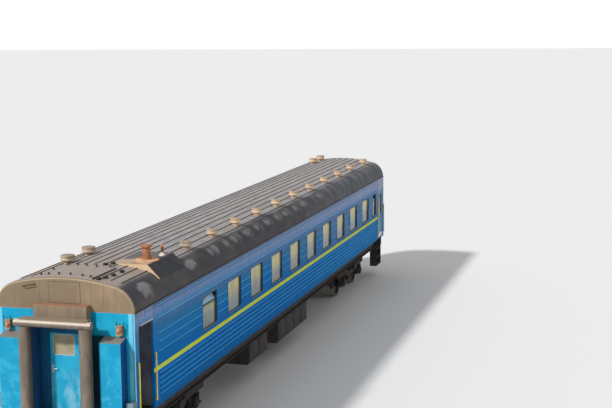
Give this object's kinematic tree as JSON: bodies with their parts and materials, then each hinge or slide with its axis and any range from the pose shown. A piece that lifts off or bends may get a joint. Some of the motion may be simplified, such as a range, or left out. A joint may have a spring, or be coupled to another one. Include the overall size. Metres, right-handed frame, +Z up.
{
  "type": "railway passenger coach, sleeping car",
  "caption": "Corrugated steel sleeping car on two bogies, blue with a yellow-green stripe, roof ventilators, chimney hood and rubber gangways.",
  "frame": {"origin": "midway between the two ends on the coach's centre plane, at the level of the lowest points of the wheel flanges, 28 mm below the rail heads", "axes": "+X along the coach towards the boiler and chimney end, +Y towards the compartment side, +Z up"},
  "size_m": [24.946, 3.208, 4.723],
  "materials": {
    "side_blue": "satin",
    "end_cyan": "satin",
    "end_beige": "matte",
    "roof_paint": "matte",
    "hood_paint": "matte",
    "vent_beige": "matte",
    "rusty_steel": "matte",
    "lamp_beige": "matte",
    "yellow_paint": "satin",
    "inner_panel": "satin",
    "berth_brown": "satin",
    "floor_board": "matte",
    "window_glass": "glossy",
    "window_rubber": "matte",
    "gangway_rubber": "matte",
    "underframe_black": "matte",
    "bogie_black": "matte",
    "wheel_steel": "worn",
    "coupler_steel": "matte"
  },
  "bodies": {
    "coach_body": {"underframe": "underframe_black", "cross_members": "underframe_black", "headstocks": "underframe_black", "floor": "floor_board", "side_wall_left": "side_blue", "side_wall_right": "side_blue", "window_frames": "window_rubber", "window_glass": "window_glass", "end_wall_boiler": "end_cyan", "end_wall_far": "end_cyan", "roof": "roof_paint", "roof_ends": "end_beige", "roof_hatch": "roof_paint", "roof_vents": "vent_beige", "chimney_hood": "hood_paint", "chimney": "rusty_steel", "boiler": "underframe_black", "gangway_rubber_boiler": "gangway_rubber", "gangway_rubber_far": "gangway_rubber", "gangway_frames": "end_beige", "end_ducts": "end_cyan", "tail_lamps": "lamp_beige", "jumper_boxes": "end_cyan", "vestibule_walls": "inner_panel", "compartment_walls": "inner_panel", "berths": "berth_brown", "handrails": "yellow_paint", "entrance_steps": "underframe_black", "buffers": "underframe_black", "underfloor_boxes": "underframe_black", "air_reservoirs": "underframe_black", "generator": "underframe_black"},
    "side_door_left_boiler": {"side_door_left_boiler": "side_blue"},
    "side_door_right_boiler": {"side_door_right_boiler": "side_blue"},
    "side_door_left_far": {"side_door_left_far": "side_blue"},
    "side_door_right_far": {"side_door_right_far": "side_blue"},
    "end_door_boiler": {"end_door_boiler": "end_cyan"},
    "end_door_far": {"end_door_far": "end_cyan"},
    "coupler_boiler": {"coupler_boiler": "coupler_steel"},
    "coupler_far": {"coupler_far": "coupler_steel"},
    "bogie_boiler": {"bogie_boiler_frame": "bogie_black", "bogie_boiler_bolster": "bogie_black", "bogie_boiler_springs": "bogie_black", "bogie_boiler_axleboxes": "bogie_black", "bogie_boiler_brakes": "bogie_black"},
    "wheelset_boiler_outer": {"wheelset_boiler_outer": "wheel_steel"},
    "wheelset_boiler_inner": {"wheelset_boiler_inner": "wheel_steel"},
    "bogie_far": {"bogie_far_frame": "bogie_black", "bogie_far_bolster": "bogie_black", "bogie_far_springs": "bogie_black", "bogie_far_axleboxes": "bogie_black", "bogie_far_brakes": "bogie_black"},
    "wheelset_far_outer": {"wheelset_far_outer": "wheel_steel"},
    "wheelset_far_inner": {"wheelset_far_inner": "wheel_steel"}
  },
  "joints": [
    {"name": "side_door_left_boiler_hinge", "type": "hinge", "parent": "coach_body", "child": "side_door_left_boiler", "pos_m": [11.59, 1.5, 1.6], "axis": [0, 0, -1], "range_deg": [0, 90]},
    {"name": "side_door_right_boiler_hinge", "type": "hinge", "parent": "coach_body", "child": "side_door_right_boiler", "pos_m": [11.59, -1.5, 1.6], "axis": [0, 0, -1], "range_deg": [0, 90]},
    {"name": "side_door_left_far_hinge", "type": "hinge", "parent": "coach_body", "child": "side_door_left_far", "pos_m": [-11.59, 1.5, 1.6], "axis": [0, 0, -1], "range_deg": [0, 90]},
    {"name": "side_door_right_far_hinge", "type": "hinge", "parent": "coach_body", "child": "side_door_right_far", "pos_m": [-11.59, -1.5, 1.6], "axis": [0, 0, 1], "range_deg": [0, 90]},
    {"name": "end_door_boiler_hinge", "type": "hinge", "parent": "coach_body", "child": "end_door_boiler", "pos_m": [11.745, 0.35, 1.6], "axis": [0, 0, -1], "range_deg": [0, 90]},
    {"name": "end_door_far_hinge", "type": "hinge", "parent": "coach_body", "child": "end_door_far", "pos_m": [-11.745, -0.35, 1.6], "axis": [0, 0, -1], "range_deg": [0, 90]},
    {"name": "coupler_boiler_swing", "type": "hinge", "parent": "coach_body", "child": "coupler_boiler", "pos_m": [11, 0, 1.088], "axis": [0, 0, 1], "range_deg": [-8, 8]},
    {"name": "coupler_far_swing", "type": "hinge", "parent": "coach_body", "child": "coupler_far", "pos_m": [-11, 0, 1.088], "axis": [0, 0, 1], "range_deg": [-8, 8]},
    {"name": "bogie_boiler_swivel", "type": "hinge", "parent": "coach_body", "child": "bogie_boiler", "pos_m": [8.5, 0, 1.028], "axis": [0, 0, 1], "range_deg": [-4, 4]},
    {"name": "wheelset_boiler_outer_spin", "type": "hinge", "parent": "bogie_boiler", "child": "wheelset_boiler_outer", "pos_m": [9.7, 0, 0.503], "axis": [0, 1, 0], "continuous": true},
    {"name": "wheelset_boiler_inner_spin", "type": "hinge", "parent": "bogie_boiler", "child": "wheelset_boiler_inner", "pos_m": [7.3, 0, 0.503], "axis": [0, 1, 0], "continuous": true},
    {"name": "bogie_far_swivel", "type": "hinge", "parent": "coach_body", "child": "bogie_far", "pos_m": [-8.5, 0, 1.028], "axis": [0, 0, 1], "range_deg": [-4, 4]},
    {"name": "wheelset_far_outer_spin", "type": "hinge", "parent": "bogie_far", "child": "wheelset_far_outer", "pos_m": [-9.7, 0, 0.503], "axis": [0, 1, 0], "continuous": true},
    {"name": "wheelset_far_inner_spin", "type": "hinge", "parent": "bogie_far", "child": "wheelset_far_inner", "pos_m": [-7.3, 0, 0.503], "axis": [0, 1, 0], "continuous": true}
  ]
}
